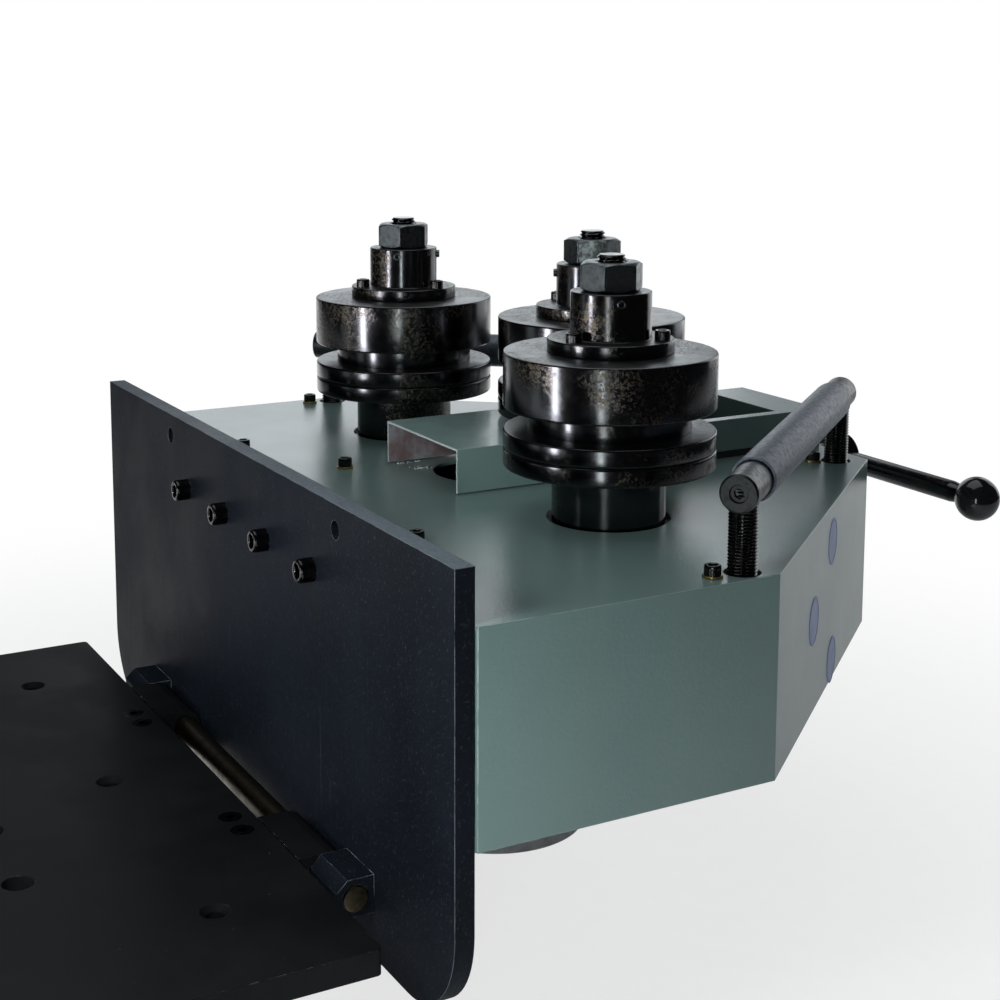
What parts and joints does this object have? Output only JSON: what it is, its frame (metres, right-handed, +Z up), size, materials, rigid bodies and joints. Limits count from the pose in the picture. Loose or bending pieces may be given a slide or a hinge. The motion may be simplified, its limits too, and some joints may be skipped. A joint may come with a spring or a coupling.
{
  "type": "ring roller",
  "caption": "Tilting head of a powered ring roller with upright rolls, side guide rollers and a hinged stand top, laid back for horizontal bending.",
  "frame": {"origin": "underside of the stand top, at the centre of its corner bolt holes", "axes": "+X along the hinge shaft, +Y from the stand top towards the head, +Z up along the roll spindles as pictured"},
  "size_m": [0.6194, 0.7772, 0.464],
  "materials": {
    "green_enamel": "grey-green hammered enamel, satin gloss",
    "black_paint": "satin black paint",
    "mill_scale_steel": "hot-rolled steel with blue-black scale, oiled",
    "bronzed_steel": "steel bar browned by oil",
    "bronze": "turned bearing bronze",
    "yellow_zinc": "yellow zinc plate",
    "black_rubber": "sealing strip",
    "black_phenolic": "polished black ball",
    "cast_aluminium": "as-cast aluminium",
    "grey_paint": "grey machinery enamel",
    "blued_steel": "ground tool steel, blackened and oiled",
    "black_oxide": "black oxide",
    "satin_steel": "satin bright steel",
    "phosphate_grey": "grey phosphate",
    "machined_steel": "machined steel, lightly oiled"
  },
  "bodies": {
    "base": {"deck_plate": "black_paint", "hinge_blocks": "black_paint", "hinge_screws": "black_oxide"},
    "head": {"foot_plate": "mill_scale_steel", "hinge_shaft": "bronzed_steel", "foot_screws": "black_oxide", "hood": "green_enamel", "hood_screws": "black_oxide", "hood_washers": "yellow_zinc", "front_frame_plate": "machined_steel", "rear_frame_plate": "machined_steel", "frame_pillars": "machined_steel", "rear_bushes": "bronze", "spindle_housings": "blued_steel", "spindle_bearings": "machined_steel", "slide_gibs": "machined_steel", "slide_frame": "green_enamel", "slide_gasket": "black_rubber", "feed_block": "machined_steel", "feed_nut": "bronze", "gearbox": "cast_aluminium", "motor": "grey_paint"},
    "right_roll": {"right_spindle": "black_oxide", "right_lower_discs": "blued_steel", "right_spacer_ring": "blued_steel", "right_upper_ring": "blued_steel", "right_clamp_hub": "blued_steel", "right_clamp_screws": "black_oxide", "right_spindle_nut": "satin_steel", "right_drive_gear": "machined_steel"},
    "left_roll": {"left_spindle": "black_oxide", "left_lower_discs": "blued_steel", "left_spacer_ring": "blued_steel", "left_upper_ring": "blued_steel", "left_clamp_hub": "blued_steel", "left_clamp_screws": "black_oxide", "left_spindle_nut": "satin_steel", "left_drive_gear": "machined_steel"},
    "centre_roll": {"centre_spindle": "black_oxide", "centre_lower_discs": "blued_steel", "centre_spacer_ring": "blued_steel", "centre_upper_ring": "blued_steel", "centre_clamp_hub": "blued_steel", "centre_clamp_screws": "black_oxide", "centre_spindle_nut": "satin_steel"},
    "pinion": {"drive_pinion": "machined_steel"},
    "carriage": {"carriage_block": "machined_steel", "centre_housing": "blued_steel", "centre_bearings": "machined_steel", "sliding_cover": "green_enamel"},
    "feed": {"feed_screw": "machined_steel", "lever_hub": "black_oxide", "lever_arm": "black_oxide", "ball_knob": "black_phenolic"},
    "right_guide": {"right_guide_studs": "black_oxide", "right_guide_axle": "black_oxide"},
    "right_guide_roller": {"right_guide_tube": "phosphate_grey"},
    "left_guide": {"left_guide_studs": "black_oxide", "left_guide_axle": "black_oxide"},
    "left_guide_roller": {"left_guide_tube": "phosphate_grey"}
  },
  "joints": [
    {"name": "head_tilt", "type": "hinge", "parent": "base", "child": "head", "pos_m": [0, 0.15, 0.003], "axis": [1, 0, 0], "range_deg": [0, 90]},
    {"name": "right_roll_spin", "type": "hinge", "parent": "head", "child": "right_roll", "pos_m": [0.15, 0.354, 0.25], "axis": [0, 0, 1], "continuous": true},
    {"name": "left_roll_spin", "type": "hinge", "parent": "head", "child": "left_roll", "pos_m": [-0.15, 0.354, 0.25], "axis": [0, 0, 1], "continuous": true},
    {"name": "pinion_spin", "type": "hinge", "parent": "head", "child": "pinion", "pos_m": [0, 0.354, 0.09], "axis": [0, 0, 1], "continuous": true},
    {"name": "carriage_slide", "type": "slide", "parent": "head", "child": "carriage", "axis": [0, 1, 0], "range_m": [-0.0251, 0.0801]},
    {"name": "feed_turn", "type": "hinge", "parent": "carriage", "child": "feed", "pos_m": [0, 0.6, 0.167], "axis": [0, 1, 0], "range_deg": [-1800, 5760]},
    {"name": "centre_roll_spin", "type": "hinge", "parent": "carriage", "child": "centre_roll", "pos_m": [0, 0.434, 0.25], "axis": [0, 0, 1], "continuous": true},
    {"name": "right_guide_height", "type": "slide", "parent": "head", "child": "right_guide", "axis": [0, 0, 1], "range_m": [-0.02, 0.04]},
    {"name": "right_guide_spin", "type": "hinge", "parent": "right_guide", "child": "right_guide_roller", "pos_m": [0.19355, 0.471, 0.241], "axis": [-0.6435, 0.7655, 0], "continuous": true},
    {"name": "left_guide_height", "type": "slide", "parent": "head", "child": "left_guide", "axis": [0, 0, 1], "range_m": [-0.02, 0.04]},
    {"name": "left_guide_spin", "type": "hinge", "parent": "left_guide", "child": "left_guide_roller", "pos_m": [-0.19355, 0.471, 0.241], "axis": [0.6435, 0.7655, 0], "continuous": true}
  ],
  "couplings": [
    {"joint": "left_roll_spin", "follows": "right_roll_spin", "ratio": 1},
    {"joint": "pinion_spin", "follows": "right_roll_spin", "ratio": -1.5},
    {"joint": "carriage_slide", "follows": "feed_turn", "m_per_rad": 0.00079577}
  ]
}
